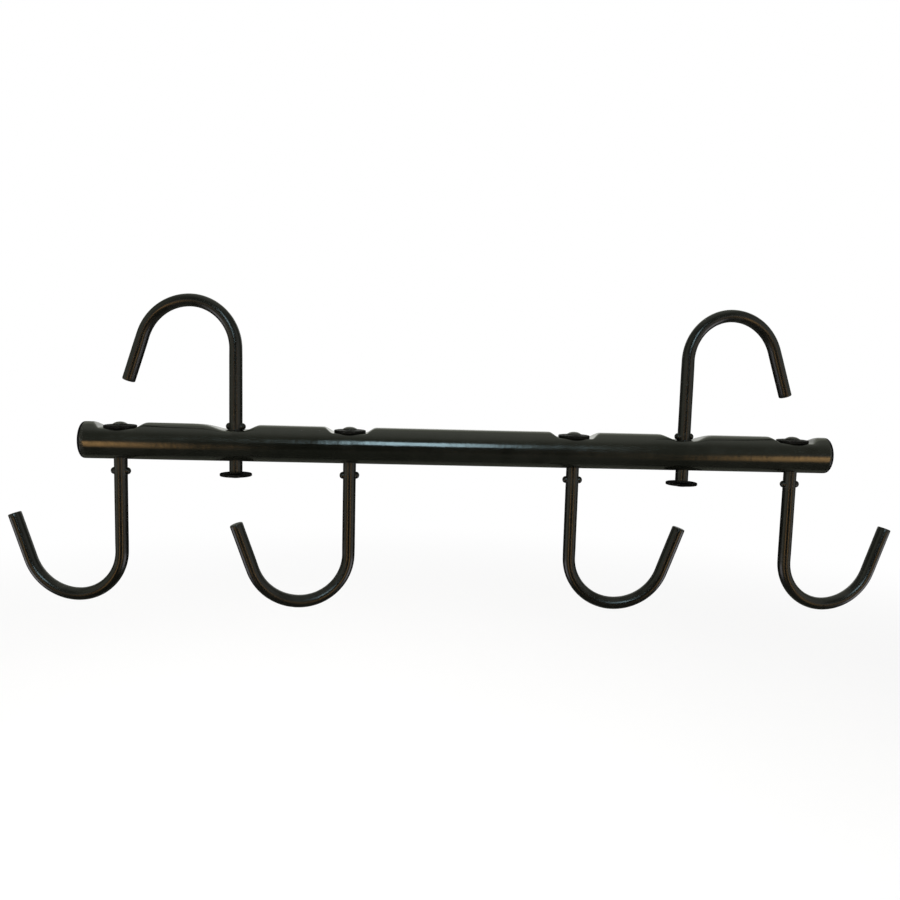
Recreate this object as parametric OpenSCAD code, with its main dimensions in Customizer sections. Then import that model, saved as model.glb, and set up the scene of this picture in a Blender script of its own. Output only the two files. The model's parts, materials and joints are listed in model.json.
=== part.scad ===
// Portable tack rack: a round steel bar that carries four hanging tack hooks
// and two upright hooks that hang the whole rack over a rail or a stall door.
// Frame: origin at the middle of the bar's axis, +X along the bar, +Z up.
// All sizes in millimetres.

/* [Bar] */
// Length of the bar over both end caps
bar_length = 584; // [560:1:640]
// Outside diameter of the tube
tube_od = 28.6; // [27:0.1:32]
// Wall thickness of the tube
tube_wall = 2; // [1.6:0.1:2.4]
// Thickness of the end cap's flange
cap_flange = 2; // [1.5:0.1:3]

/* [Stations] */
// Distance from one station to the next along the bar (tack hooks stand at 1 and 3 pitches, hang hooks at 2)
pitch = 88; // [86:0.5:89]
// How deep the flats are pressed into the top of the tube
land_depth = 4.4; // [3:0.1:5]
// Length of the flat under a tack hook's disc
tack_land = 27; // [26:0.5:30]
// Length of the sloping shoulder at each end of that flat
tack_shoulder = 5.5; // [4:0.5:6]
// Length of the flat under a hang hook's cross pin
hang_land = 17; // [16:0.5:20]
// Length of the sloping shoulder at each end of that flat
hang_shoulder = 9.5; // [6:0.5:12]
// Clearance on the radius between a rod and its hole
hole_gap = 0.08; // [0.04:0.01:0.1]

/* [Hooks] */
// Diameter of the round bar that the hooks are bent from
rod_d = 10; // [8:0.5:10]
// Distance from the disc's inner face to the outside of the bend
hook_reach = 137.5; // [125:0.5:160]
// Radius of the bend's centre line on the shank side
shank_bend_r = 36; // [30:0.5:38]
// Radius of the bend's centre line on the tip side
tip_bend_r = 40; // [34:0.5:40]
// How far the open tip leans away from the shank, in degrees
tip_lean = 19; // [10:1:19]
// Length of the straight part of the tip
tip_length = 38; // [25:0.5:38]
// Chamfer at the cut end of the tip
tip_chamfer = 0.8; // [0.4:0.1:1.5]
// Direction each tack hook faces at rest, in degrees counter-clockwise from +X seen from above
tack_facing = [174, 194, -4, 5];
// Direction each hang hook faces at rest, in degrees counter-clockwise from +X seen from above
hang_facing = [172, 8];

/* [Discs, rivets and cross pins] */
// Diameter of the round disc that ends each rod
disc_d = 24.5; // [20:0.5:25]
// Thickness of the disc
disc_t = 2.5; // [2:0.1:4]
// Width of the broken edge around the disc
disc_edge = 0.4; // [0.1:0.1:0.8]
// Diameter of the rivet's shank
rivet_d = 5; // [4:0.5:6]
// Diameter of the rivet's domed head
rivet_head_d = 11; // [9:0.5:13]
// Height of the domed rivet heads on top of the bar
rivet_head_h = 2.2; // [1.2:0.1:2.6]
// Height of the flatter rivet heads under the hang hooks
foot_head_h = 1.1; // [0.8:0.1:2.6]
// Diameter of the cross pin
pin_d = 5.5; // [4:0.5:6]
// Length of the cross pin over its round ends
pin_length = 15.5; // [13:0.5:15.5]
// Distance from a tack hook's disc (inner face) to its cross pin's axis
tack_pin_offset = 33.5; // [32:0.5:38]
// Distance from a hang hook's disc (inner face) to its cross pin's axis
hang_pin_offset = 36.5; // [33:0.5:38]

/* [Hidden] */
$fn = 96;
rod_fn = 48;                           // facets of rods, pins and rivets
rest_gap = 0.02;                       // gap left where one piece rests on another
fit_gap = 0.05;                        // gap on the radius around rivets, pins and cap ribs

// Bar
tube_r = tube_od / 2;
bore_r = tube_r - tube_wall;
tube_len = bar_length - 2 * cap_flange;
land_z = tube_r - land_depth;          // height of the pressed flats
press_over = 3;                        // how far a press reaches past the tube

// End cap; places along the plug are measured inward from the flange's inner face
flange_round = cap_flange * 0.75;      // radius of the flange's rounded edge
plug_length = 6.4;
plug_wall = 1.9;
plug_inset = 2.6;                      // from the tube's bore to the inside of the plug wall
plug_overlap = 0.5;                    // how far the plug wall runs into the flange
rib_inset = 1.5;                       // from the tube's bore to a rib's root
rib_width = 1;
rib_starts = [2.2, 4.8];               // far edge of each rib

// Hooks
rod_r = rod_d / 2;
shank_len = hook_reach - rod_r - shank_bend_r;  // straight part of the rod
tip_thinning = 0.01;                   // the straight tip's radius is this much under the rod's
tip_overlap = 0.3;                     // how far the straight tip sinks into the bend's end
rivet_depth = 13;                      // rivet's end below the disc's inner face
rivet_hole_depth = 14;
rivet_overlap = 0.2;                   // overlap between the parts of a rivet
head_rim = 0.4;                        // straight rim under the rivet head's dome

// Stations
tack_x = [-3 * pitch, -pitch, pitch, 3 * pitch];
hang_x = [-2 * pitch, 2 * pitch];
tack_z = land_z + rest_gap;                                // a tack disc lies on its flat
hang_z = land_z + rest_gap + pin_d / 2 - hang_pin_offset;  // a hang pin lies on its flat

// Colours
coat = [0.105, 0.11, 0.10];
plastic = [0.045, 0.045, 0.05];
steel = [0.17, 0.17, 0.165];

// Prism that presses a flat with sloping shoulders into the tube, its flat at height z
module press(x, flat, shoulder, z) {
    slope_run = shoulder * (land_depth + press_over) / land_depth;
    top_z = z + land_depth + press_over;
    translate([x, 0, 0]) rotate([90, 0, 0])
        linear_extrude(height = tube_od + 2 * press_over, center = true)
            polygon([[-flat / 2, z], [flat / 2, z],
                     [flat / 2 + slope_run, top_z],
                     [-flat / 2 - slope_run, top_z]]);
}

// All presses of the bar, sunk by drop for the inside of the wall
module presses(drop) {
    for (x = tack_x) press(x, tack_land, tack_shoulder, land_z - drop);
    for (x = hang_x) press(x, hang_land, hang_shoulder, land_z - drop);
}

module bar_tube() {
    color(coat) difference() {
        rotate([0, 90, 0]) cylinder(r = tube_r, h = tube_len, center = true);
        presses(0);
        // bore, following the pressed flats
        difference() {
            rotate([0, 90, 0]) cylinder(r = bore_r, h = tube_len + 2, center = true);
            presses(tube_wall);
        }
        // holes for the hooks' rods
        for (x = concat(tack_x, hang_x)) translate([x, 0, 0])
            cylinder(r = rod_r + hole_gap, h = tube_od + 10, center = true);
    }
}

// Plug with a flange, standing on the tube's right-hand end
module end_cap() {
    color(plastic) translate([tube_len / 2, 0, 0]) rotate([0, 90, 0]) rotate_extrude() {
        // flange, rounded at its outer edge
        square([tube_r - flange_round, cap_flange]);
        square([tube_r, cap_flange - flange_round]);
        intersection() {
            translate([tube_r - flange_round, cap_flange - flange_round])
                circle(r = flange_round);
            square([tube_r, cap_flange]);
        }
        // plug wall with two gripping ribs
        translate([bore_r - plug_inset, -plug_length])
            square([plug_wall, plug_length + plug_overlap]);
        for (start = rib_starts)
            translate([bore_r - rib_inset, -start]) square([rib_inset - fit_gap, rib_width]);
    }
}
module end_cap_left() rotate([0, 0, 180]) end_cap();
module end_cap_right() end_cap();

// ---- one hook, in its own frame: origin on the rod's axis at the disc's inner
// ---- face, the rod runs down -Z and the hook opens towards +X

// Quarter bend or less in the XZ plane, from the start angle on
module rod_bend(bend_r, centre_z, start, sweep) {
    translate([shank_bend_r, 0, centre_z]) rotate([90, 0, 0]) rotate([0, 0, start])
        rotate_extrude(angle = sweep) translate([bend_r, 0]) circle(d = rod_d, $fn = rod_fn);
}

// Straight tip with a chamfered end, standing on the origin
module straight_tip() {
    side_r = rod_r - tip_thinning;
    rotate_extrude($fn = rod_fn)
        polygon([[0, -tip_overlap], [side_r, -tip_overlap],
                 [side_r, tip_length - tip_chamfer],
                 [rod_r - tip_chamfer, tip_length], [0, tip_length]]);
}

module hook_rod(pin_offset) {
    tip_sweep = 90 - tip_lean;
    // both bends meet at the hook's lowest point
    tip_centre_z = -shank_len - shank_bend_r + tip_bend_r;
    tip_x = shank_bend_r + tip_bend_r * sin(tip_sweep);
    tip_z = tip_centre_z - tip_bend_r * cos(tip_sweep);
    color(coat) difference() {
        union() {
            translate([0, 0, -shank_len]) cylinder(d = rod_d, h = shank_len, $fn = rod_fn);
            rod_bend(shank_bend_r, -shank_len, 180, 90);
            rod_bend(tip_bend_r, tip_centre_z, 270, tip_sweep);
            translate([tip_x, 0, tip_z]) rotate([0, tip_lean, 0]) straight_tip();
        }
        // drilled end for the rivet, and the cross hole for the pin
        translate([0, 0, -rivet_hole_depth])
            cylinder(r = rivet_d / 2 + fit_gap, h = rivet_hole_depth + 6, $fn = rod_fn);
        translate([0, 0, -pin_offset]) rotate([0, 90, 0])
            cylinder(r = pin_d / 2 + fit_gap, h = rod_d + 4, center = true, $fn = rod_fn);
    }
}

// Round disc across the end of the rod, with a broken edge
module hook_disc() {
    disc_r = disc_d / 2;
    hole_r = rivet_d / 2 + fit_gap;
    color(coat) rotate_extrude()
        polygon([[hole_r, 0], [disc_r - disc_edge, 0], [disc_r, disc_edge],
                 [disc_r, disc_t - disc_edge], [disc_r - disc_edge, disc_t],
                 [hole_r, disc_t]]);
}

// Domed rivet through the disc into the rod's end
module hook_rivet(head_h) {
    dome_h = head_h - head_rim;
    // sphere through the rim's edge and the top of the head
    dome_r = (pow(rivet_head_d / 2, 2) + pow(dome_h, 2)) / (2 * dome_h);
    color(steel) {
        translate([0, 0, -rivet_depth])
            cylinder(d = rivet_d, h = disc_t + rivet_depth + rivet_overlap, $fn = rod_fn);
        translate([0, 0, disc_t + rest_gap]) {
            cylinder(d = rivet_head_d, h = head_rim, $fn = rod_fn);
            intersection() {
                translate([0, 0, head_h - dome_r]) sphere(r = dome_r);
                translate([0, 0, head_rim - rivet_overlap])
                    cylinder(d = rivet_head_d, h = head_h + 1, $fn = rod_fn);
            }
        }
    }
}

// Cross pin with round ends
module hook_pin(pin_offset) {
    straight = pin_length - pin_d;
    color(coat) translate([0, 0, -pin_offset]) rotate([0, 90, 0]) {
        cylinder(d = pin_d, h = straight, center = true, $fn = rod_fn);
        for (side = [-1, 1])
            translate([0, 0, side * straight / 2]) sphere(d = pin_d, $fn = rod_fn);
    }
}

// Places one piece of a tack hook, hanging down through the bar
module tack(i)
    translate([tack_x[i], 0, tack_z]) rotate([0, 0, tack_facing[i]]) children();
// Places one piece of a hang hook, standing up through the bar
module hang(i)
    translate([hang_x[i], 0, hang_z]) rotate([0, 0, hang_facing[i]])
        rotate([180, 0, 0]) children();

bar_tube();
end_cap_left();
end_cap_right();
tack(0) hook_rod(tack_pin_offset);  // tack_hook_1_rod
tack(0) hook_disc();  // tack_hook_1_disc
tack(0) hook_rivet(rivet_head_h);  // tack_hook_1_rivet
tack(0) hook_pin(tack_pin_offset);  // tack_hook_1_pin
tack(1) hook_rod(tack_pin_offset);  // tack_hook_2_rod
tack(1) hook_disc();  // tack_hook_2_disc
tack(1) hook_rivet(rivet_head_h);  // tack_hook_2_rivet
tack(1) hook_pin(tack_pin_offset);  // tack_hook_2_pin
tack(2) hook_rod(tack_pin_offset);  // tack_hook_3_rod
tack(2) hook_disc();  // tack_hook_3_disc
tack(2) hook_rivet(rivet_head_h);  // tack_hook_3_rivet
tack(2) hook_pin(tack_pin_offset);  // tack_hook_3_pin
tack(3) hook_rod(tack_pin_offset);  // tack_hook_4_rod
tack(3) hook_disc();  // tack_hook_4_disc
tack(3) hook_rivet(rivet_head_h);  // tack_hook_4_rivet
tack(3) hook_pin(tack_pin_offset);  // tack_hook_4_pin
hang(0) hook_rod(hang_pin_offset);  // hang_hook_1_rod
hang(0) hook_disc();  // hang_hook_1_disc
hang(0) hook_rivet(foot_head_h);  // hang_hook_1_rivet
hang(0) hook_pin(hang_pin_offset);  // hang_hook_1_pin
hang(1) hook_rod(hang_pin_offset);  // hang_hook_2_rod
hang(1) hook_disc();  // hang_hook_2_disc
hang(1) hook_rivet(foot_head_h);  // hang_hook_2_rivet
hang(1) hook_pin(hang_pin_offset);  // hang_hook_2_pin
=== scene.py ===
import json
import math

import bmesh
import bpy
import numpy as np
from mathutils import Matrix, Vector


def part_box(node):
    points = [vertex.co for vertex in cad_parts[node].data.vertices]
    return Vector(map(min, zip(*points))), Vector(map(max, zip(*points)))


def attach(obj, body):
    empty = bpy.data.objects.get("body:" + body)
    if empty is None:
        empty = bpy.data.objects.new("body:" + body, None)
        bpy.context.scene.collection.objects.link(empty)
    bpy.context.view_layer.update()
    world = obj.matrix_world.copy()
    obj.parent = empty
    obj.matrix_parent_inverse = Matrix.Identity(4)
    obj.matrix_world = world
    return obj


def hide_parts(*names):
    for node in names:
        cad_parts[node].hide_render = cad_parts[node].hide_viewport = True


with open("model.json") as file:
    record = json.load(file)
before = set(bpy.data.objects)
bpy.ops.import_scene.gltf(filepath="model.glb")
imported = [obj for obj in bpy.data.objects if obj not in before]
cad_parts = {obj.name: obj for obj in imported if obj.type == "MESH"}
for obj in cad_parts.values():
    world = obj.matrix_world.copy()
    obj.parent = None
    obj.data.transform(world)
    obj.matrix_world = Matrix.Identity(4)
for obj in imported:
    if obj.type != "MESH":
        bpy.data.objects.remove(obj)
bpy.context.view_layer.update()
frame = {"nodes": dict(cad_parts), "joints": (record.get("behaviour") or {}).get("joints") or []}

MM = 0.001
TACK = ["tack_hook_1", "tack_hook_2", "tack_hook_3", "tack_hook_4"]
HANG = ["hang_hook_1", "hang_hook_2"]


def softplus(v):
    return np.logaddexp(0.0, v)


def softmin(a, b, w):
    return -w * np.logaddexp(-a / w, -b / w)


def smooth(e0, e1, v):
    t = np.clip((v - e0) / (e1 - e0), 0, 1)
    return t * t * (3 - 2 * t)


# ---------------------------------------------------------------- where the frame's pieces are, in mm
lo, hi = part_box("bar_tube")
TUBE_X = float(hi.x - lo.x) / 2 / MM          # half the tube's length
R = float(hi.y - lo.y) / 2 / MM               # outside radius
WALL = 2.0
AXIS = {}                                     # hook: (x of the rod's axis, facing in radians)
for j in frame["joints"]:
    if not j["name"].endswith("_swivel"):
        continue
    h, ax = j["child"], float(j["pos_m"][0])
    co = np.array([v.co for v in frame["nodes"][h + "_rod"].data.vertices], float)
    flat = co[:, :2] - np.array([ax, 0.0])
    far = np.hypot(flat[:, 0], flat[:, 1])
    tip = flat[far > far.max() - 0.0012].mean(0)
    AXIS[h] = (ax / MM, math.atan2(tip[1], tip[0]))
LAND_Z = float(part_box("tack_hook_1_disc")[0].z) / MM - 0.02
DISC_R = float(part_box("tack_hook_1_disc")[1].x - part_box("tack_hook_1_disc")[0].x) / 2 / MM
ROD_R = 5.0
HOLE_R = 5.08
PIN_R = float(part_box("tack_hook_1_pin")[1].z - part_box("tack_hook_1_pin")[0].z) / 2 / MM
PIN_HALF = 7.75


# ---------------------------------------------------------------- mesh helpers
def put(name, verts, faces, node, body, material, rub=None, sharp=38.0, painted_shade=None):
    """verts in mm in the row frame. One closed mesh that stands for the CAD node of that name."""
    verts = np.asarray(verts, float) * MM
    mesh = bpy.data.meshes.new(name)
    mesh.from_pydata(verts.tolist(), [], [list(map(int, f)) for f in faces])
    mesh.validate()
    bm = bmesh.new()
    bm.from_mesh(mesh)
    bmesh.ops.recalc_face_normals(bm, faces=bm.faces[:])
    loose = [v for v in bm.verts if not v.link_faces]
    if loose:
        bmesh.ops.delete(bm, geom=loose, context="VERTS")
    bm.to_mesh(mesh)
    bm.free()
    mesh.shade_smooth()
    mesh.set_sharp_from_angle(angle=math.radians(sharp))
    mesh.update()
    # convex edges, from how the normals fan out between neighbours
    n = len(mesh.vertices)
    co = np.zeros(n * 3)
    mesh.vertices.foreach_get("co", co)
    co = co.reshape(-1, 3)
    no = np.zeros(n * 3)
    mesh.vertex_normals.foreach_get("vector", no)
    no = no.reshape(-1, 3)
    ed = np.zeros(len(mesh.edges) * 2, np.int32)
    mesh.edges.foreach_get("vertices", ed)
    ed = ed.reshape(-1, 2)
    dp, dn = co[ed[:, 1]] - co[ed[:, 0]], no[ed[:, 1]] - no[ed[:, 0]]
    k = (dp * dn).sum(1) / np.maximum((dp * dp).sum(1), 1e-12)
    top = np.full(n, -1e9)
    np.maximum.at(top, ed[:, 0], k)
    np.maximum.at(top, ed[:, 1], k)
    worn = mesh.attributes.new("worn", "FLOAT", "POINT")
    worn.data.foreach_set("value", smooth(420.0, 1900.0, top).astype(np.float32))
    r = mesh.attributes.new("rub", "FLOAT", "POINT")
    r.data.foreach_set("value", (np.zeros(n) if rub is None else np.clip(rub(co / MM), 0, 1)).astype(np.float32))
    # painted shade mask: where it is 1 the shader makes the surface matt and dark, standing in for shade and for a
    # dark reflection
    q = mesh.attributes.new("painted_shade", "FLOAT", "POINT")
    q.data.foreach_set("value", (np.zeros(n) if painted_shade is None else np.clip(painted_shade(co / MM), 0, 1)).astype(np.float32))
    mesh.materials.append(material)
    ob = bpy.data.objects.new(name, mesh)
    bpy.context.scene.collection.objects.link(ob)
    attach(ob, body)
    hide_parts(node)
    return ob


class Build:
    def __init__(self):
        self.v, self.f = [], []

    def add(self, pts):
        first = len(self.v)
        self.v.extend([tuple(map(float, p)) for p in pts])
        return list(range(first, first + len(pts)))

    def band(self, a, b):
        """Quads between two closed loops of the same length."""
        n = len(a)
        for i in range(n):
            k = (i + 1) % n
            self.f.append((a[i], a[k], b[k], b[i]))

    def fan(self, loop, centre):
        c = self.add([centre])[0]
        n = len(loop)
        for i in range(n):
            self.f.append((loop[i], loop[(i + 1) % n], c))

    def lathe(self, profile, seg, place):
        """profile [(r, z)...] about z; a radius of 0 closes the end with a point."""
        ang = np.arange(seg) * 2 * math.pi / seg
        prev = None
        for r, z in profile:
            if r < 1e-6:
                if prev is None:
                    prev = ("c", z)
                else:
                    self.fan(prev, place(np.array([[0.0, 0.0, z]]))[0])
                    prev = None
                continue
            ring = self.add(place(np.stack([r * np.cos(ang), r * np.sin(ang), np.full(seg, z)], 1)))
            if isinstance(prev, tuple):
                self.fan(ring, place(np.array([[0.0, 0.0, prev[1]]]))[0])
            elif prev is not None:
                self.band(prev, ring)
            prev = ring
        return prev


def arc(cx, cz, r, a0, a1, n):
    """Points of an arc in (r, z), angles in degrees."""
    return [(cx + r * math.cos(math.radians(a)), cz + r * math.sin(math.radians(a))) for a in np.linspace(a0, a1, n)]


# ---------------------------------------------------------------- bar tube: a pressed shell with drilled holes
NT = 96                       # divisions round the tube
HALF_BLOCK = 8                # cells from a hole's axis to the edge of its patch
BLOCK = R * math.sin(math.radians(360 / NT * HALF_BLOCK))
STATIONS = sorted([AXIS[h][0] for h in AXIS])
TACK_X = [AXIS[h][0] for h in TACK]
HANG_X = [AXIS[h][0] for h in HANG]
DEPTH = R - LAND_Z
# (half of the flat, run of the shoulder, softness of its foot, softness of its crest), left then right of each station
PRESS = {}
for k, x in enumerate(TACK_X):
    PRESS[x] = [(13.5, 5.5, 0.55, 0.40), (13.5, 5.5, 0.55, 0.45)]
PRESS[TACK_X[0]] = [(13.5, 5.5, 0.6, 0.55), (13.5, 5.5, 0.6, 0.7)]
PRESS[TACK_X[3]] = [(13.5, 5.5, 0.55, 0.5), (13.5, 5.8, 0.6, 0.7)]
PRESS[HANG_X[0]] = [(8.2, 12.0, 1.8, 1.3), (8.6, 9.0, 0.5, 0.40)]
PRESS[HANG_X[1]] = [(8.6, 9.6, 0.5, 0.45), (8.3, 9.6, 1.5, 0.9)]


def skin(x, th, inner=False):
    """Point of the tube's outer (or inner) surface at x and angle th (0 is +Y, 90 degrees is +Z)."""
    x, th = np.asarray(x, float), np.asarray(th, float)
    r = R - WALL if inner else R
    y, z = r * np.cos(th), r * np.sin(th)
    top, crest, pressed = np.full(x.shape, 60.0), np.full(x.shape, 0.4), np.zeros(x.shape)
    for xs in STATIONS:
        u = x - xs
        near = np.abs(u) < 44.0
        left = u < 0
        half = np.where(left, PRESS[xs][0][0], PRESS[xs][1][0])
        run = np.where(left, PRESS[xs][0][1], PRESS[xs][1][1])
        foot = np.where(left, PRESS[xs][0][2], PRESS[xs][1][2])
        cr = np.where(left, PRESS[xs][0][3], PRESS[xs][1][3])
        b = LAND_Z + DEPTH / run * foot * softplus((np.abs(u) - half) / foot)
        top = np.where(near, b, top)
        crest = np.where(near, cr, crest)
        pressed = np.where(near, np.clip((R - b) / DEPTH, 0, 1), pressed)
    drop = WALL if inner else 0.0
    z = np.where(z >= 0, softmin(z, top - drop, crest), z)
    # the displaced metal swells the flanks a little
    y = y * (1 + 0.010 * pressed * np.sin(np.clip(th, 0, math.pi)) ** 2)
    # a hand-run tube is never dead straight or dead round
    wob = 0.045 * np.sin(x / 61.0 + 0.7) + 0.028 * np.sin(x / 23.0 + 2.1)
    rip = 1 + 0.0011 * np.sin(2 * th + x / 140.0) + 0.0007 * np.sin(3 * th - x / 37.0)
    fade = smooth(0, 12, TUBE_X - np.abs(x))
    return np.stack([x, y * (1 + (rip - 1) * fade) + wob * 0.5 * fade, z * (1 + (rip - 1) * fade * (1 - pressed))], -1)


def x_lines():
    out = []
    marks = [-TUBE_X] + STATIONS + [TUBE_X]

    def span(a, b, fine_a, fine_b):
        """Lines strictly between a and b, fine close to an end that is a hole's patch."""
        pts, p = [], a
        while True:
            d = min(p - a if fine_a else 1e9, b - p if fine_b else 1e9)
            step = 0.95 if d < 17 else 3.4
            if b - p < step * 1.5:
                break
            p += step
            pts.append(p)
        return pts

    for i in range(len(marks) - 1):
        a = marks[i] + (BLOCK if i > 0 else 0)
        b = marks[i + 1] - (BLOCK if i < len(marks) - 2 else 0)
        if i > 0:
            out += [marks[i] + t * BLOCK / HALF_BLOCK for t in range(-HALF_BLOCK, HALF_BLOCK + 1)]
        out += [a] if i == 0 else []
        out += span(a, b, i > 0, i < len(marks) - 2)
    out.append(TUBE_X)
    return out


def build_tube():
    m = Build()
    xs = x_lines()
    th = np.arange(NT) * 2 * math.pi / NT
    edge = 0.35
    grids = []
    for inner in (False, True):
        rows = []
        for k, x in enumerate(xs):
            first, last = k == 0, k == len(xs) - 1
            if first or last:
                # rounded rim of the cut end
                s = -1 if first else 1
                p = skin(np.full(NT, x - s * edge), th, inner)
                r = np.hypot(p[:, 1], p[:, 2])
                sg = 1 if not inner else -1
                rims = []
                for a in (0, 30, 60, 90):
                    q = p.copy()
                    q[:, 0] = x - s * edge + s * edge * math.sin(math.radians(a))
                    d = sg * edge * (1 - math.cos(math.radians(a)))
                    q[:, 1] *= (r - d) / r
                    q[:, 2] *= (r - d) / r
                    rims.append(m.add(q))
                rows.append(rims if last else rims[::-1])
            else:
                rows.append([m.add(skin(np.full(NT, x), th, inner))])
        grids.append(rows)

    holes = []
    for inner, rows in zip((False, True), grids):
        line = [(k, ring) for k, row in enumerate(rows) for ring in row]
        for (ka, a), (kb, b) in zip(line[:-1], line[1:]):
            for j in range(NT):
                skip = False
                if ka != kb:
                    xm = (xs[ka] + xs[kb]) / 2
                    for s in STATIONS:
                        if abs(xm - s) < BLOCK:
                            for c in (NT // 4, 3 * NT // 4):
                                if c - HALF_BLOCK <= j < c + HALF_BLOCK:
                                    skip = True
                if not skip:
                    jn = (j + 1) % NT
                    m.f.append((a[j], a[jn], b[jn], b[j]))
        found = {}
        for s in STATIONS:
            ks = [k for k, x in enumerate(xs) if abs(x - s) < BLOCK + 1e-6]
            for side, c in ((1, NT // 4), (-1, 3 * NT // 4)):
                j0, j1 = c - HALF_BLOCK, c + HALF_BLOCK
                loop = [rows[ks[0]][0][j] for j in range(j0, j1)]
                loop += [rows[k][0][j1] for k in ks[:-1]]
                loop += [rows[ks[-1]][0][j] for j in range(j1, j0, -1)]
                loop += [rows[k][0][j0] for k in ks[:0:-1]]
                n = len(loop)
                outer = np.array([m.v[i] for i in loop])[:, :2] - np.array([s, 0])
                # angle of corner 0 seen from the hole's axis, then evenly round
                ang = []
                per = n // 4
                for q in range(n):
                    cnr, t = divmod(q, per)
                    base = [(-1, side), (-1, -side), (1, -side), (1, side)]
                    a0 = math.atan2(base[cnr][1], base[cnr][0])
                    a1 = math.atan2(base[(cnr + 1) % 4][1], base[(cnr + 1) % 4][0])
                    while a1 - a0 > math.pi:
                        a1 -= 2 * math.pi
                    while a1 - a0 < -math.pi:
                        a1 += 2 * math.pi
                    ang.append(a0 + (a1 - a0) * t / per)
                ang = np.array(ang)
                ring = np.stack([np.cos(ang), np.sin(ang)], 1)
                rr = (R - WALL) if inner else R
                lip = 0.30

                def lay(xy, dz=0.0):
                    tt = np.arccos(np.clip(xy[:, 1] / rr, -1, 1)) * side
                    p = skin(s + xy[:, 0], tt, inner)
                    p[:, 1] = xy[:, 1]
                    p[:, 2] -= dz * side
                    return p

                prev = loop
                for t in (0.28, 0.55, 0.8, 1.0):
                    now = m.add(lay(outer * (1 - t) + ring * (HOLE_R + lip) * t))
                    m.band(prev, now)
                    prev = now
                sign = -1 if inner else 1
                for a in (30, 60, 90):
                    ar = math.radians(a)
                    now = m.add(lay(ring * (HOLE_R + lip * (1 - math.sin(ar))), sign * lip * (1 - math.cos(ar))))
                    m.band(prev, now)
                    prev = now
                found[(s, side)] = prev
        holes.append(found)
    for key in holes[0]:
        m.band(holes[0][key], holes[1][key])
    # close the wall at both ends of the tube
    m.band(grids[0][0][0], grids[1][0][0])
    m.band(grids[0][-1][-1], grids[1][-1][-1])
    return m


# ---------------------------------------------------------------- one hook's pieces, in the hook's own frame
BEND_A, BEND_B, LEAN, TIP, SHANK = 36.0, 40.0, 19.0, 38.0, 96.5


def hook_path():
    """[(x, z, direction angle, share of bend)...] down the rod's centre line."""
    out = []
    for t in np.linspace(0, 1, 34):
        out.append((0.0, -SHANK * t, -90.0, smooth(SHANK - 7, SHANK, SHANK * t)))
    for a in np.linspace(180, 270, 37)[1:]:
        r = math.radians(a)
        out.append((BEND_A + BEND_A * math.cos(r), -SHANK + BEND_A * math.sin(r), a + 90 - 360, 1.0))
    cz = -SHANK - BEND_A + BEND_B
    for a in np.linspace(270, 270 + 90 - LEAN, 31)[1:]:
        r = math.radians(a)
        out.append((BEND_A + BEND_B * math.cos(r), cz + BEND_B * math.sin(r), a + 90 - 360, 1.0))
    x0, z0, d0, _ = out[-1]
    dx, dz = math.sin(math.radians(LEAN)), math.cos(math.radians(LEAN))
    for t in np.linspace(0, 1, 15)[1:]:
        L = (TIP - 1.0) * t
        out.append((x0 + dx * L, z0 + dz * L, d0, 1 - smooth(0, 7, L)))
    return out


def ring_at(x, z, deg, r_in, r_out, seg):
    """A circle round the path: r_in in the plane of the bend, r_out across it."""
    a = np.arange(seg) * 2 * math.pi / seg
    t = math.radians(deg)
    nx, nz = -math.sin(t), math.cos(t)
    return np.stack([x + r_in * np.cos(a) * nx, r_out * np.sin(a), z + r_in * np.cos(a) * nz], 1)


def build_rod(place, seed):
    m = Build()
    seg = 44
    rng = np.random.RandomState(seed)
    ph = rng.uniform(0, 6.28, 4)
    # bore for the rivet, then the shoulder under the disc
    a = np.arange(seg) * 2 * math.pi / seg
    prev = None
    for r, z in [(2.55, -14.0), (2.55, -0.05), (2.75, 0.0), (ROD_R - 0.25, 0.0), (ROD_R - 0.07, -0.07)]:
        ring = m.add(place(ring_at(0, z, -90, r, r, seg)))
        if prev is None:
            m.fan(ring, place(np.array([[0, 0, -14.6]]))[0])
        else:
            m.band(prev, ring)
        prev = ring
    s = 0.0
    path = hook_path()
    for i, (x, z, d, b) in enumerate(path):
        if i == 0:
            z -= 0.3
        s = -z if i < 34 else s + 2.4
        lump = 0.018 * math.sin(s / 17 + ph[0]) + 0.012 * math.sin(s / 7.3 + ph[1])
        ring = m.add(place(ring_at(x, z, d, (ROD_R + lump * (1 - 0.5 * b)) * (1 - 0.018 * b), (ROD_R + lump) * (1 + 0.009 * b), seg)))
        m.band(prev, ring)
        prev = ring
    # sawn end with a broken edge
    x, z, d, b = path[-1]
    dx, dz = math.cos(math.radians(d)), math.sin(math.radians(d))
    rr = ROD_R + 0.018 * math.sin(s / 17 + ph[0]) + 0.012 * math.sin(s / 7.3 + ph[1])
    for k in (30, 60, 90):
        q = math.radians(k)
        r = rr - 0.85 * (1 - math.cos(q))
        L = 0.85 * math.sin(q)
        ring = m.add(place(ring_at(x + dx * L, z + dz * L, d, r, r, seg)))
        m.band(prev, ring)
        prev = ring
    for r, L in ((3.4, 0.90), (2.2, 0.96), (1.0, 1.0)):
        ring = m.add(place(ring_at(x + dx * L, z + dz * L, d, r, r, seg)))
        m.band(prev, ring)
        prev = ring
    m.fan(prev, place(np.array([[x + dx * 1.0, 0, z + dz * 1.0]]))[0])
    return m


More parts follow.
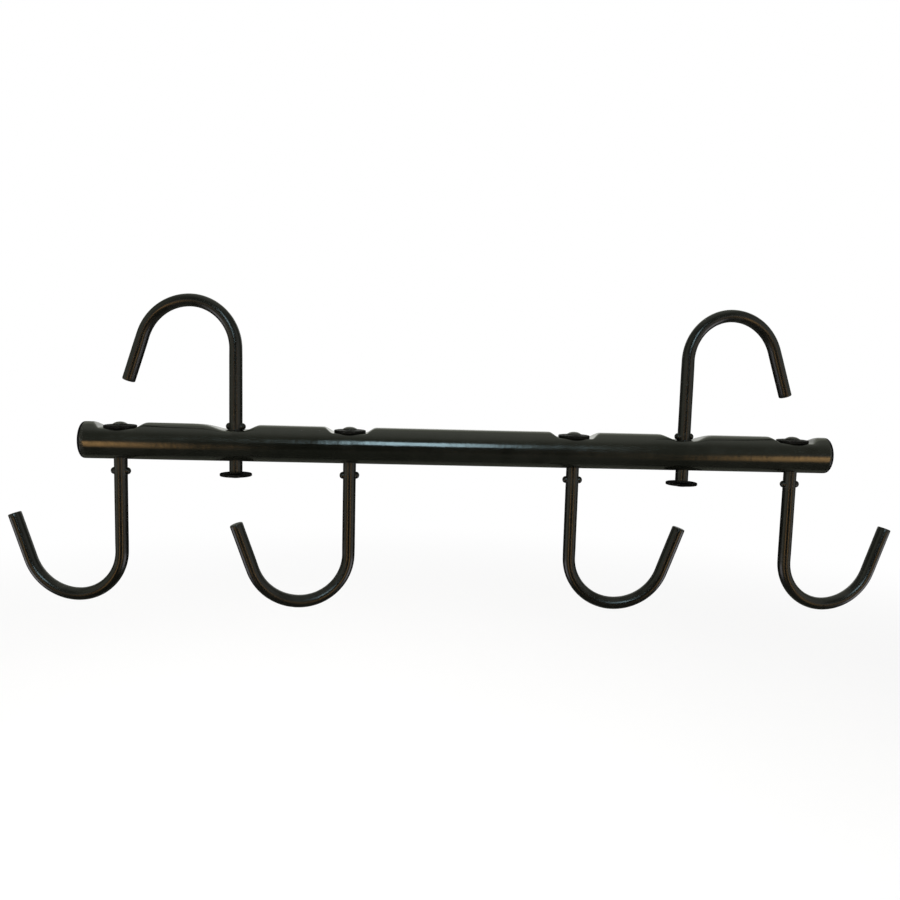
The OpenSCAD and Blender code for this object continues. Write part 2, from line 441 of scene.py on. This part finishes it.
def build_disc(place):
    m = Build()
    r, t, e = DISC_R, 2.5, 0.55
    prof = [(2.56, 0.2)] + [(2.56, 2.2), (2.80, 2.38)]
    # outer face: slightly dished, with the rivet's seat in the middle
    prof += [(4.6, 2.40), (5.6, 2.41), (6.3, 2.44), (7.2, 2.46), (8.6, 2.38), (10.0, 2.25), (r - e - 0.3, 2.08)]
    prof += arc(r - e, 2.02 - e, e, 78, 0, 7)
    prof += arc(r - e, e, e, 0, -90, 7)
    prof += [(9.8, 0.0), (8.0, 0.0), (6.4, 0.0)]
    # bead of coat in the corner between the disc and the rod
    prof += [(ROD_R + 0.24, 0.0), (ROD_R + 0.15, -0.04), (ROD_R + 0.075, -0.12), (ROD_R + 0.04, -0.24), (ROD_R + 0.015, -0.40), (ROD_R - 0.12, -0.40), (ROD_R - 0.12, 0.2), (2.56, 0.2)]
    seg = 96
    ang = np.arange(seg) * 2 * math.pi / seg
    rings = [m.add(place(np.stack([q * np.cos(ang), q * np.sin(ang), np.full(seg, z)], 1))) for q, z in prof[:-1]]
    for a, b in zip(rings[:-1], rings[1:]):
        m.band(a, b)
    m.band(rings[-1], rings[0])
    return m


def build_rivet(place, h):
    m = Build()
    rh, base = 5.5, 2.52
    rise = h - 0.4
    dome = (rh * rh + rise * rise) / (2 * rise)
    prof = [(0, -13.0), (2.2, -13.0), (2.5, -12.7), (2.5, -6.0), (2.5, 0.0), (2.5, base - 0.12), (2.62, base), (4.9, base)]
    prof += arc(rh - 0.22, base + 0.24, 0.22, -90, 25, 6)
    for a in np.linspace(math.asin((rh - 0.1) / dome), 0, 15)[:-1]:
        z = base + h - dome + dome * math.cos(a)
        r = dome * math.sin(a)
        # the punch leaves a small flat with a shallow ring round it
        if r < 2.6:
            z -= 0.08 * float(smooth(2.6, 1.6, r))
        prof.append((r, z))
    prof.append((0, base + h - 0.10))
    m.lathe(prof, 64, place)
    return m


def build_pin(place, off):
    """Cross pin along local x at height -off: a buttoned knob each side, with the coat filleted onto the rod."""
    m = Build()
    seg = 40
    a = np.arange(seg) * 2 * math.pi / seg
    ca, sa = np.cos(a), np.sin(a)
    f = 0.55
    for_side = []

    def ring(x, r, s):
        return m.add(place(np.stack([s * x, r * ca, -off + r * sa], 1)))

    for s in (-1, 1):
        rings = []
        rings.append(ring(np.full(seg, 3.2), np.full(seg, PIN_R - 0.25), s))
        for k in range(0, 6):
            q = math.radians(90 * k / 5)
            r = PIN_R - 0.02 + f * (1 - math.sin(q))
            xs = np.sqrt(np.maximum(ROD_R ** 2 - (r * ca) ** 2, 0)) - 0.03
            rings.append(ring(xs + f * (1 - math.cos(q)), np.full(seg, r), s))
        xb = np.sqrt(ROD_R ** 2 - ((PIN_R - 0.02) * ca) ** 2) - 0.03 + f
        run = PIN_HALF - PIN_R + 0.35
        xd = run + (PIN_HALF - run) * math.sin(math.radians(10))
        rings.append(ring(xb + 0.35 * (xd - xb), np.full(seg, PIN_R), s))
        # the end: a slightly flattened dome
        for k in range(0, 9):
            q = math.radians(90 * k / 9)
            r = PIN_R * math.cos(q) ** 0.9 if k else PIN_R
            x = run + (PIN_HALF - run) * math.sin(q)
            rings.append(ring(np.full(seg, x) if k else xb + 0.7 * (xd - xb), np.full(seg, max(r, 0.4)), s))
        for p, q in zip(rings[:-1], rings[1:]):
            m.band(p, q)
        m.fan(rings[-1], place(np.array([[s * PIN_HALF, 0, -off]]))[0])
        for_side.append(rings[0])
    m.band(for_side[0], for_side[1])
    return m


def build_cap(side):
    m = Build()
    x0 = TUBE_X
    bore = R - WALL

    def place(p):
        q = np.empty_like(p)
        q[:, 0] = side * (x0 + p[:, 2])
        q[:, 1] = side * p[:, 0]
        q[:, 2] = p[:, 1]
        return q

    t = 2.0
    prof = [(0, t - 0.30), (0.5, t - 0.30), (1.05, t - 0.26), (1.35, t - 0.10), (1.8, t - 0.06), (4.0, t - 0.10), (8.2, t - 0.16)]
    prof += [(8.9, t - 0.15), (9.4, t - 0.02), (9.9, t + 0.0), (11.2, t - 0.02)]
    prof += arc(R - 1.55, t - 1.5, 1.48, 80, 0, 10)
    prof += [(R - 0.05, 0.25), (R - 0.12, 0.09), (R - 0.25, 0.02), (bore + 0.3, 0.02), (bore - 0.75, 0.0)]
    ribs = [(-0.5, -1.1), (-1.2, -2.2), (-3.8, -4.8)]
    prof += [(bore - 0.75, -1.15), (bore - 0.06, -1.25), (bore - 0.06, -1.7), (bore - 0.75, -2.3), (bore - 0.75, -3.75), (bore - 0.06, -3.85), (bore - 0.06, -4.3), (bore - 0.75, -4.9)]
    prof += [(bore - 0.80, -6.0), (bore - 1.1, -6.4), (bore - 2.4, -6.4), (bore - 2.6, -6.2), (bore - 2.6, -0.3), (bore - 3.2, 0.0), (4.0, 0.0), (0, 0.0)]
    m.lathe(prof, 96, place)
    return m


# ---------------------------------------------------------------- materials
def node_tools(mat):
    nt = mat.node_tree
    nt.nodes.clear()

    def new(kind, **kw):
        nd = nt.nodes.new(kind)
        for k, v in kw.items():
            setattr(nd, k, v)
        return nd

    def link(a, b):
        nt.links.new(a, b)

    def val(sock, v):
        if hasattr(v, "default_value") or hasattr(v, "is_output"):
            nt.links.new(v, sock)
        else:
            sock.default_value = v

    def math_(op, a, b=0.0, clamp=False):
        nd = new("ShaderNodeMath", operation=op, use_clamp=clamp)
        val(nd.inputs[0], a)
        val(nd.inputs[1], b)
        return nd.outputs[0]

    def noise(vec, scale, detail=3.0, rough=0.55):
        nd = new("ShaderNodeTexNoise")
        nd.inputs["Scale"].default_value = scale
        nd.inputs["Detail"].default_value = detail
        nd.inputs["Roughness"].default_value = rough
        link(vec, nd.inputs["Vector"])
        return nd.outputs["Fac"]

    def ramp(fac, a, b, va=0.0, vb=1.0):
        nd = new("ShaderNodeMapRange", interpolation_type="SMOOTHSTEP")
        val(nd.inputs[0], fac)
        for k, v in enumerate((a, b, va, vb)):
            nd.inputs[k + 1].default_value = v
        return nd.outputs[0]

    def mix(fac, a, b):
        nd = new("ShaderNodeMix", data_type="RGBA")
        val(nd.inputs[0], fac)
        for sock, v in ((nd.inputs[6], a), (nd.inputs[7], b)):
            if isinstance(v, tuple):
                sock.default_value = (*v, 1.0)
            else:
                link(v, sock)
        return nd.outputs[2]

    return nt, new, link, val, math_, noise, ramp, mix


def paint(name, dark, light, edge_col, rough, peel, worn_amount, coat=0.35, rub_rough=0.10, grain=0.25, spec=0.5, drawn=0.0, coat_rough=0.07):
    mat = bpy.data.materials.new(name)
    mat.use_nodes = True
    nt, new, link, val, math_, noise, ramp, mix = node_tools(mat)
    tc = new("ShaderNodeTexCoord")
    vec = tc.outputs["Object"]
    n_big = noise(vec, 14.0, 2.0)
    n_mid = noise(vec, 95.0, 4.0)
    n_fine = noise(vec, 900.0, 3.0, 0.6)
    n_speck = noise(vec, 2600.0, 2.0, 0.7)
    worn = new("ShaderNodeAttribute", attribute_name="worn").outputs["Fac"]
    rub = new("ShaderNodeAttribute", attribute_name="rub").outputs["Fac"]
    # mask of painted shade and painted dark reflection, read from the mesh
    painted_shade = new("ShaderNodeAttribute", attribute_name="painted_shade").outputs["Fac"]
    # colour: slow mottling, fine speckle, edges where the coat has pulled thin
    tone = math_("ADD", math_("MULTIPLY", n_big, 0.6), math_("MULTIPLY", n_mid, 0.4))
    col = mix(ramp(tone, 0.36, 0.66), dark, light)
    col = mix(math_("MULTIPLY", ramp(n_speck, 0.62, 0.78), 0.35), col, edge_col)
    thin = math_("MULTIPLY", worn, ramp(math_("ADD", math_("MULTIPLY", n_mid, 0.55), math_("MULTIPLY", n_fine, 0.45)), 0.40, 0.62), clamp=True)
    thin = math_("MULTIPLY", thin, worn_amount)
    chip = math_("MULTIPLY", math_("MULTIPLY", worn, ramp(n_fine, 0.60, 0.67)), worn_amount)
    rubbed = math_("MULTIPLY", rub, ramp(n_mid, 0.34, 0.66))
    col = mix(math_("MULTIPLY", thin, 0.55), col, edge_col)
    col = mix(math_("MULTIPLY", rubbed, 0.30), col, edge_col)
    col = mix(math_("MULTIPLY", chip, 0.60), col, (0.115, 0.108, 0.100))
    # roughness: mottled gloss, duller on worn edges
    r = math_("ADD", ramp(n_big, 0.3, 0.7, rough - 0.035, rough + 0.045), ramp(n_mid, 0.3, 0.75, -0.02, 0.04))
    r = math_("ADD", r, math_("MULTIPLY", thin, 0.16))
    r = math_("ADD", r, math_("MULTIPLY", rubbed, rub_rough))
    # painted shade: rougher where the mask is set
    r = math_("ADD", r, math_("MULTIPLY", painted_shade, 0.30))
    r = math_("ADD", r, math_("MULTIPLY", ramp(n_speck, 0.55, 0.8), 0.06), clamp=True)
    # bump: orange peel, grain, pinholes
    peel1 = noise(vec, 330.0, 1.5, 0.45)
    peel2 = noise(vec, 62.0, 1.0, 0.5)
    h = math_("ADD", math_("MULTIPLY", peel1, 0.6), math_("MULTIPLY", peel2, 1.3))
    h = math_("ADD", h, math_("MULTIPLY", n_speck, grain))
    h = math_("SUBTRACT", h, math_("MULTIPLY", chip, 0.8))
    if drawn:
        # faint lines along the tube, left by drawing it
        run = new("ShaderNodeMapping")
        run.inputs["Scale"].default_value = (0.022, 1.0, 1.0)
        link(vec, run.inputs["Vector"])
        lines = noise(run.outputs["Vector"], 520.0, 2.0, 0.5)
        h = math_("ADD", h, math_("MULTIPLY", lines, drawn))
        r = math_("ADD", r, math_("MULTIPLY", ramp(lines, 0.35, 0.65, -0.5, 0.5), 0.05), clamp=True)
        col = mix(math_("MULTIPLY", ramp(lines, 0.50, 0.66), 0.30), col, light)
    bump = new("ShaderNodeBump")
    bump.inputs["Strength"].default_value = peel
    bump.inputs["Distance"].default_value = 0.00022
    link(h, bump.inputs["Height"])
    bs = new("ShaderNodeBsdfPrincipled")
    link(col, bs.inputs["Base Color"])
    link(r, bs.inputs["Roughness"])
    link(bump.outputs["Normal"], bs.inputs["Normal"])
    bs.inputs["IOR"].default_value = 1.5
    # painted shade: the mask cuts the specular by 85% and the coat to nothing, so those places read dark
    link(math_("MULTIPLY", math_("SUBTRACT", 1.0, math_("MULTIPLY", painted_shade, 0.85)), spec), bs.inputs["Specular IOR Level"])
    link(math_("MULTIPLY", math_("SUBTRACT", 1.0, painted_shade), coat), bs.inputs["Coat Weight"])
    bs.inputs["Coat Roughness"].default_value = coat_rough
    bs.inputs["Coat IOR"].default_value = 1.5
    link(bump.outputs["Normal"], bs.inputs["Coat Normal"])
    out = new("ShaderNodeOutputMaterial")
    link(bs.outputs[0], out.inputs["Surface"])
    return mat


TUBE = paint("black_enamel", (0.0040, 0.0044, 0.0030), (0.0086, 0.0090, 0.0064), (0.036, 0.035, 0.029), 0.145, 0.42, 1.0, grain=0.08, drawn=0.34)
ROD = paint("black_enamel_rod", (0.0022, 0.0024, 0.0017), (0.0048, 0.0050, 0.0038), (0.028, 0.027, 0.022), 0.24, 0.26, 1.0, coat=0.12, grain=0.03, spec=0.40, coat_rough=0.17)
BUTTON = paint("black_enamel_button", (0.0014, 0.0015, 0.0011), (0.0034, 0.0035, 0.0029), (0.021, 0.020, 0.018), 0.46, 0.8, 0.9, coat=0.0, grain=0.5, spec=0.045)
RIVET = paint("black_enamel_thin", (0.0045, 0.0047, 0.0038), (0.0095, 0.0096, 0.0082), (0.062, 0.060, 0.055), 0.22, 0.5, 1.0, coat=0.3, spec=0.5, grain=0.12)
CAP = paint("moulded_plastic", (0.0028, 0.0028, 0.0031), (0.0058, 0.0058, 0.0064), (0.024, 0.024, 0.025), 0.52, 0.5, 0.8, coat=0.0, grain=0.7, spec=0.10)


# ---------------------------------------------------------------- pieces
def rub_bar(co):
    """Where rods and knobs have polished the bar: round the holes and on the flats."""
    out = np.zeros(len(co))
    for s in STATIONS:
        d = np.hypot(co[:, 0] - s, co[:, 1])
        out = np.maximum(out, 1 - smooth(0.6, 4.5, np.abs(d - 6.0)))
    return out * 0.8


def painted_dark_reflection_bar(co):
    """Painted dark reflection under the bar: a lens above each hang hook's disc is made matt and dark, standing in for
    the disc's dark reflection in the underside.
    """
    out = np.zeros(len(co))
    for s in HANG_X:
        u = (co[:, 0] - s) / 15.5
        depth = 3.4 * np.sqrt(np.clip(1 - u * u, 0, 1))
        out = np.maximum(out, (np.abs(u) < 1) * smooth(-0.5, 0.4, depth - (co[:, 2] + R)))
    return out


def painted_shade_cap(co):
    """Painted shade on the cap's rounded rim: it is made matt and dark, as if it lay in shade."""
    return 0.9 * smooth(R - 1.9, R - 0.9, np.hypot(co[:, 1], co[:, 2]))


tube = build_tube()
# the bar's last mask paints a dark reflection of each hang disc onto its underside
put("enamel_bar", tube.v, tube.f, "bar_tube", "bar", TUBE, rub_bar, sharp=50, painted_shade=painted_dark_reflection_bar)
for side, node in ((-1, "end_cap_left"), (1, "end_cap_right")):
    c = build_cap(side)
    # the caps' rounded rims carry painted shade
    put("moulded_" + node, c.v, c.f, node, "bar", CAP, sharp=50, painted_shade=painted_shade_cap)

for index, h in enumerate(TACK + HANG):
    ax, yaw = AXIS[h]
    down = h in TACK
    dlo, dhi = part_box(h + "_disc")
    z0 = (dlo.z if down else dhi.z) / MM
    plo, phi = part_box(h + "_pin")
    off = abs((plo.z + phi.z) / 2 / MM - z0)
    turn = np.array([[math.cos(yaw), -math.sin(yaw), 0], [math.sin(yaw), math.cos(yaw), 0], [0, 0, 1]])
    if not down:
        turn = turn @ np.diag([1.0, -1.0, -1.0])

    def place(p, turn=turn, ax=ax, z0=z0):
        return np.asarray(p, float) @ turn.T + np.array([ax, 0, z0])

    def rub_rod(co, turn=turn, ax=ax, z0=z0, off=off):
        """Inside of the bend, where bridles hang, and the length that slides in the bar."""
        q = (co - np.array([ax, 0, z0])) @ turn
        r = np.hypot(q[:, 0] - BEND_A, q[:, 2] + SHANK - 1)
        inside = (1 - smooth(33.0, 37.0, r)) * (q[:, 2] < -SHANK - 8)
        slide = (1 - smooth(0, 5, np.abs(q[:, 2] + off * 0.5) - off * 0.5)) * 0.6
        return np.maximum(inside, slide)

    rod = build_rod(place, 11 + index)
    put("enamel_" + h + "_rod", rod.v, rod.f, h + "_rod", h, ROD, rub_rod)

    def painted_shade_disc(co, z0=z0, down=down):
        """Painted shade on a hang hook's disc: the face that sits against the bar is made matt and dark, as if shaded
        by the bar.
        """
        return np.zeros(len(co)) if down else 1 - smooth(0.3, 1.2, z0 - co[:, 2])

    disc = build_disc(place)
    # a hang hook's disc carries painted shade on the face that meets the bar
    put("enamel_" + h + "_disc", disc.v, disc.f, h + "_disc", h, BUTTON, painted_shade=painted_shade_disc)
    rlo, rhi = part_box(h + "_rivet")
    head = ((rhi.z - z0 * MM) if down else (z0 * MM - rlo.z)) / MM - 2.52
    rivet = build_rivet(place, head)
    put("enamel_" + h + "_rivet", rivet.v, rivet.f, h + "_rivet", h + "_lift", RIVET)
    pin = build_pin(place, off)
    put("enamel_" + h + "_pin", pin.v, pin.f, h + "_pin", h, ROD)

# ---------------------------------------------------------------- floor, light, camera
FLOOR_Z = -0.46
fv, ff = [(0.0, 0.0, FLOOR_Z)], []
radii = [0.2, 0.4, 0.7, 1.1, 1.7, 2.6, 4.0, 6.5, 10.0, 16.0, 24.0, 34.0]
for r in radii:
    fv += [(r * math.cos(2 * math.pi * k / 64), r * math.sin(2 * math.pi * k / 64), FLOOR_Z) for k in range(64)]
for k in range(64):
    q = (k + 1) % 64
    ff.append((0, 1 + k, 1 + q))
    for i in range(len(radii) - 1):
        a, b = 1 + 64 * i, 65 + 64 * i
        ff.append((a + k, b + k, b + q, a + q))
fm = bpy.data.meshes.new("floor")
fm.from_pydata(fv, [], ff)
floor = bpy.data.objects.new("floor", fm)
bpy.context.scene.collection.objects.link(floor)
mat = bpy.data.materials.new("pale_floor")
mat.use_nodes = True
nt, new, link, val, math_, noise, ramp, mix = node_tools(mat)
tc = new("ShaderNodeTexCoord")
fn = noise(tc.outputs["Object"], 3.0, 3.0)
bs = new("ShaderNodeBsdfPrincipled")
link(mix(fn, (0.925, 0.925, 0.92), (0.94, 0.94, 0.935)), bs.inputs["Base Color"])
bs.inputs["Roughness"].default_value = 0.9
bs.inputs["Specular IOR Level"].default_value = 0.1
# to shiny surfaces the floor is as dark as the room round the camera
lp = new("ShaderNodeLightPath")
geo = new("ShaderNodeNewGeometry")
see = new("ShaderNodeBsdfTransparent")
ms = new("ShaderNodeMixShader")
link(lp.outputs["Is Glossy Ray"], ms.inputs[0])
far = new("ShaderNodeVectorMath", operation="LENGTH")
link(tc.outputs["Object"], far.inputs[0])
glow = new("ShaderNodeEmission")
glow.inputs[0].default_value = (1.0, 1.0, 1.0, 1.0)
glow.inputs[1].default_value = 1.0
wide = new("ShaderNodeMixShader")
link(ramp(far.outputs["Value"], 0.75, 2.1), wide.inputs[0])
link(bs.outputs[0], wide.inputs[1])
link(glow.outputs[0], wide.inputs[2])
link(wide.outputs[0], ms.inputs[1])
link(see.outputs[0], ms.inputs[2])
out = new("ShaderNodeOutputMaterial")
link(ms.outputs[0], out.inputs["Surface"])
fm.materials.append(mat)

world = bpy.data.worlds.new("studio")
bpy.context.scene.world = world
world.use_nodes = True
nt, new, link, val, math_, noise, ramp, mix = node_tools(world)
tc = new("ShaderNodeTexCoord")
sep = new("ShaderNodeSeparateXYZ")
link(tc.outputs["Generated"], sep.inputs[0])
X, Y, Z = sep.outputs
DEG = 180 / math.pi
azim = math_("MULTIPLY", math_("ARCTAN2", X, math_("MULTIPLY", Y, -1.0)), DEG)
elev = math_("MULTIPLY", math_("ARCSINE", Z), DEG)


def window(v, lo0, lo1, hi1, hi0):
    """1 between lo1 and hi1, smoothly 0 outside lo0 and hi0."""
    return math_("MULTIPLY", ramp(v, lo0, lo1), ramp(v, hi1, hi0, 1.0, 0.0))


def colour(rgb, fac):
    nd = new("ShaderNodeVectorMath", operation="SCALE")
    nd.inputs[0].default_value = rgb
    val(nd.inputs[3], fac)
    return nd.outputs[0]


def plus(a, b):
    nd = new("ShaderNodeVectorMath", operation="ADD")
    link(a, nd.inputs[0])
    link(b, nd.inputs[1])
    return nd.outputs[0]


behind = math_("MULTIPLY", ramp(math_("ABSOLUTE", azim), 90.0, 108.0), ramp(elev, -3.0, 4.0, 1.0, 0.0))
base = math_("MULTIPLY", ramp(elev, -60.0, 10.0, 0.30, 1.0), math_("SUBTRACT", 1.0, math_("MULTIPLY", behind, 0.92)))
room = colour((0.17, 0.18, 0.14), base)
room = plus(room, colour((0.33, 0.345, 0.31), ramp(elev, 38.0, 78.0)))                       # pale ceiling
front = ramp(math_("ABSOLUTE", azim), 80.0, 100.0, 1.0, 0.0)
dark = math_("MULTIPLY", window(azim, -17.0, -12.0, 12.0, 18.0), window(elev, -40.0, -20.0, 8.0, 12.0))
warm = math_("MULTIPLY", front, window(elev, -44.0, -14.0, -12.0, 2.0))
warm_l = math_("MULTIPLY", warm, ramp(azim, -23.1, -16.0, 1.0, 0.0))
warm_r = math_("MULTIPLY", warm, ramp(azim, 21.2, 29.7))
warm_l = math_("MULTIPLY", warm_l, ramp(azim, -29.0, -24.0, 0.03, 1.0))
warm_r = math_("MULTIPLY", warm_r, ramp(azim, 31.0, 35.0, 1.0, 0.03))
room = plus(room, colour((4.7, 2.70, 0.98), warm_l))
room = plus(room, colour((4.6, 2.72, 1.05), warm_r))
pane = math_("MULTIPLY", window(azim, -6.0, -2.0, 2.5, 8.0), window(elev, 8.0, 12.0, 27.0, 34.0))
room = plus(room, colour((6.4, 9.2, 10.3), pane))
side_r = math_("MULTIPLY", window(azim, 40.0, 52.0, 78.0, 95.0), window(elev, -45.0, -10.0, 25.0, 50.0))
room = plus(room, colour((0.36, 0.36, 0.34), side_r))
side_l = math_("MULTIPLY", window(azim, -95.0, -80.0, -52.0, -42.0), window(elev, -40.0, -5.0, 30.0, 50.0))
room = plus(room, colour((0.32, 0.34, 0.25), side_l))
low = math_("MULTIPLY", window(math_("ABSOLUTE", azim), 56.0, 68.0, 92.0, 104.0), window(elev, -44.0, -34.0, -20.0, -13.0))
room = plus(room, colour((1.9, 1.85, 2.0), low))
wall_l = math_("MULTIPLY", ramp(azim, -140.0, -118.0, 1.0, 0.0), ramp(azim, -174.0, -162.0, 1.0, 0.10))
wall_r = math_("MULTIPLY", ramp(azim, 118.0, 140.0), ramp(azim, 160.0, 174.0, 0.45, 1.0))
back = math_("MULTIPLY", math_("ADD", wall_l, wall_r), window(elev, -3.0, 8.0, 22.0, 33.0))
room = plus(room, colour((0.95, 0.95, 0.93), back))
wings = math_("MULTIPLY", window(math_("ABSOLUTE", azim), 25.0, 35.0, 42.0, 56.0), window(elev, -6.0, -2.0, 4.0, 12.0))
room = plus(room, colour((0.5, 0.5, 0.53), wings))
back = math_("MULTIPLY", ramp(math_("ABSOLUTE", azim), 120.0, 150.0), window(elev, 26.0, 34.0, 45.0, 60.0))
room = plus(room, colour((0.24, 0.25, 0.21), back))
under = math_("MULTIPLY", ramp(math_("ABSOLUTE", azim), 100.0, 115.0), window(elev, -88.0, -76.0, -40.0, -28.0))
room = plus(room, colour((0.115, 0.12, 0.095), under))
keep = math_("SUBTRACT", 1.0, math_("MULTIPLY", dark, 0.88))
sc_ = new("ShaderNodeVectorMath", operation="SCALE")
link(room, sc_.inputs[0])
val(sc_.inputs[3], keep)
room = sc_.outputs[0]
bg_gloss = new("ShaderNodeBackground")
link(room, bg_gloss.inputs[0])
bg_gloss.inputs[1].default_value = 1.0
bg_soft = new("ShaderNodeBackground")
bg_soft.inputs[0].default_value = (0.99, 0.99, 1.0, 1.0)
bg_soft.inputs[1].default_value = 0.66
bg_cam = new("ShaderNodeBackground")
bg_cam.inputs[0].default_value = (1.0, 1.0, 1.0, 1.0)
bg_cam.inputs[1].default_value = 1.0
lp = new("ShaderNodeLightPath")
m1 = new("ShaderNodeMixShader")
link(lp.outputs["Is Glossy Ray"], m1.inputs[0])
link(bg_soft.outputs[0], m1.inputs[1])
link(bg_gloss.outputs[0], m1.inputs[2])
m2 = new("ShaderNodeMixShader")
link(lp.outputs["Is Camera Ray"], m2.inputs[0])
link(m1.outputs[0], m2.inputs[1])
link(bg_cam.outputs[0], m2.inputs[2])
out = new("ShaderNodeOutputWorld")
link(m2.outputs[0], out.inputs["Surface"])


def area(name, loc, target, w, h, power, col=(1, 1, 1), glossy=False):
    d = bpy.data.lights.new(name, "AREA")
    d.shape, d.size, d.size_y, d.energy, d.color = "RECTANGLE", w, h, power, col
    o = bpy.data.objects.new(name, d)
    o.location = loc
    o.rotation_mode = "QUATERNION"
    o.rotation_quaternion = (Vector(target) - Vector(loc)).to_track_quat("-Z", "Y")
    o.visible_glossy = glossy
    bpy.context.scene.collection.objects.link(o)
    return o


area("key", (-0.35, 0.42, 2.1), (0, 0, 0), 0.42, 0.42, 26, (1.0, 0.99, 0.97))
area("fill_left", (-1.1, -1.4, 1.2), (0, 0, 0), 1.4, 1.2, 6, (1.0, 0.99, 0.96))
area("fill_right", (1.2, -1.2, 1.0), (0, 0, 0), 1.4, 1.4, 5, (0.96, 0.98, 1.0))

cam_data = bpy.data.cameras.new("camera")
cam = bpy.data.objects.new("camera", cam_data)
bpy.context.scene.collection.objects.link(cam)
az, el, roll, dist = math.radians(-2.715), math.radians(6.023), math.radians(1.519), 648.43 * MM
target = Vector((-9.624 * MM, 0, -2.664 * MM))
d = Vector((math.sin(az) * math.cos(el), -math.cos(az) * math.cos(el), math.sin(el)))
right = (-d).cross(Vector((0, 0, 1))).normalized()
up = right.cross(-d).normalized()
r2 = right * math.cos(roll) + up * math.sin(roll)
u2 = up * math.cos(roll) - right * math.sin(roll)
rot = Matrix((r2, u2, d)).transposed()
cam.matrix_world = Matrix.Translation(target + d * dist) @ rot.to_4x4()
cam_data.sensor_width = 36.0
cam_data.lens = 825.431 / 900 * 36.0
cam_data.shift_y = 0.8 / 900
cam_data.clip_start, cam_data.clip_end = 0.01, 50.0
scene = bpy.context.scene
scene.camera = cam
scene.view_settings.view_transform = "Standard"
scene.view_settings.look = "None"
scene.view_settings.exposure = 0.0
